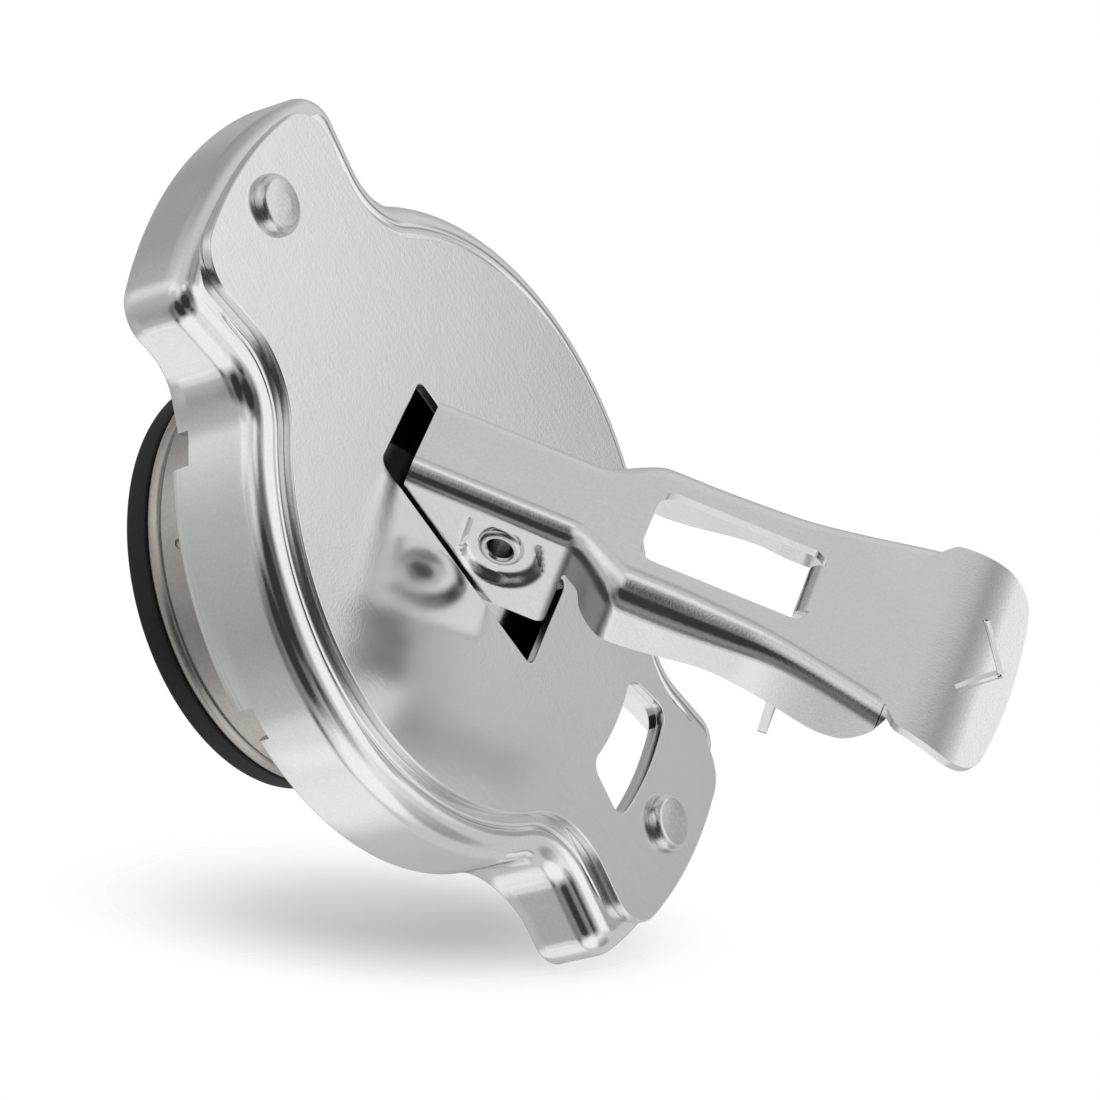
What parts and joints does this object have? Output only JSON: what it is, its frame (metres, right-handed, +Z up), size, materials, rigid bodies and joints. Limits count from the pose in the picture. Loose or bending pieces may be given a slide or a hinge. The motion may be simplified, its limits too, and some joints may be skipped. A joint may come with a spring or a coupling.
{
  "type": "radiator cap",
  "caption": "Pressure cap for a radiator filler neck, with locking ears, a riveted cover, a raised vent lever, and a spring-loaded pressure and vacuum valve underneath.",
  "frame": {"origin": "centre of the neck gasket's sealing face, where the cap meets the filler neck's rim", "axes": "+Z up out of the cap top, X along the two ears with the lever's tip towards +X"},
  "size_m": [0.0884, 0.0646, 0.0716],
  "materials": {
    "zinc_steel": "bright zinc plate, satin on the flats",
    "valve_steel": "satin stainless steel",
    "rubber": "matte black",
    "brass": "satin"
  },
  "bodies": {
    "base": {"cap_shell": "zinc_steel", "cover_plate": "zinc_steel", "ear_rivet_near": "zinc_steel", "ear_rivet_far": "zinc_steel", "neck_gasket": "rubber", "spring_plate": "valve_steel", "guide_eyelet": "valve_steel", "pressure_spring": "valve_steel"},
    "valve": {"pull_stem": "valve_steel", "stirrup": "valve_steel", "stem_washer": "valve_steel", "valve_cup": "valve_steel", "pressure_seal": "rubber", "vacuum_spring": "valve_steel"},
    "lever": {"lever": "zinc_steel", "pivot_pin": "zinc_steel"},
    "vacuum": {"vacuum_disc": "valve_steel", "vacuum_rivet": "brass", "vacuum_keeper": "valve_steel"}
  },
  "joints": [
    {"name": "valve_lift", "type": "slide", "parent": "base", "child": "valve", "axis": [0, 0, 1], "range_m": [-0.00172, 0.00188], "deforming": ["pressure_spring"]},
    {"name": "lever_lift", "type": "hinge", "parent": "valve", "child": "lever", "pos_m": [0, 0, 0.01172], "axis": [0.0906, -0.9959, 0], "range_deg": [-43, 47]},
    {"name": "vacuum_open", "type": "slide", "parent": "valve", "child": "vacuum", "axis": [0, 0, -1], "range_m": [0, 0.0015], "stiffness_N_per_m": 80, "springref_m": -0.004, "deforming": ["vacuum_spring"]}
  ],
  "couplings": [
    {"joint": "lever_lift", "follows": "valve_lift", "rad_per_m": 436.68}
  ]
}
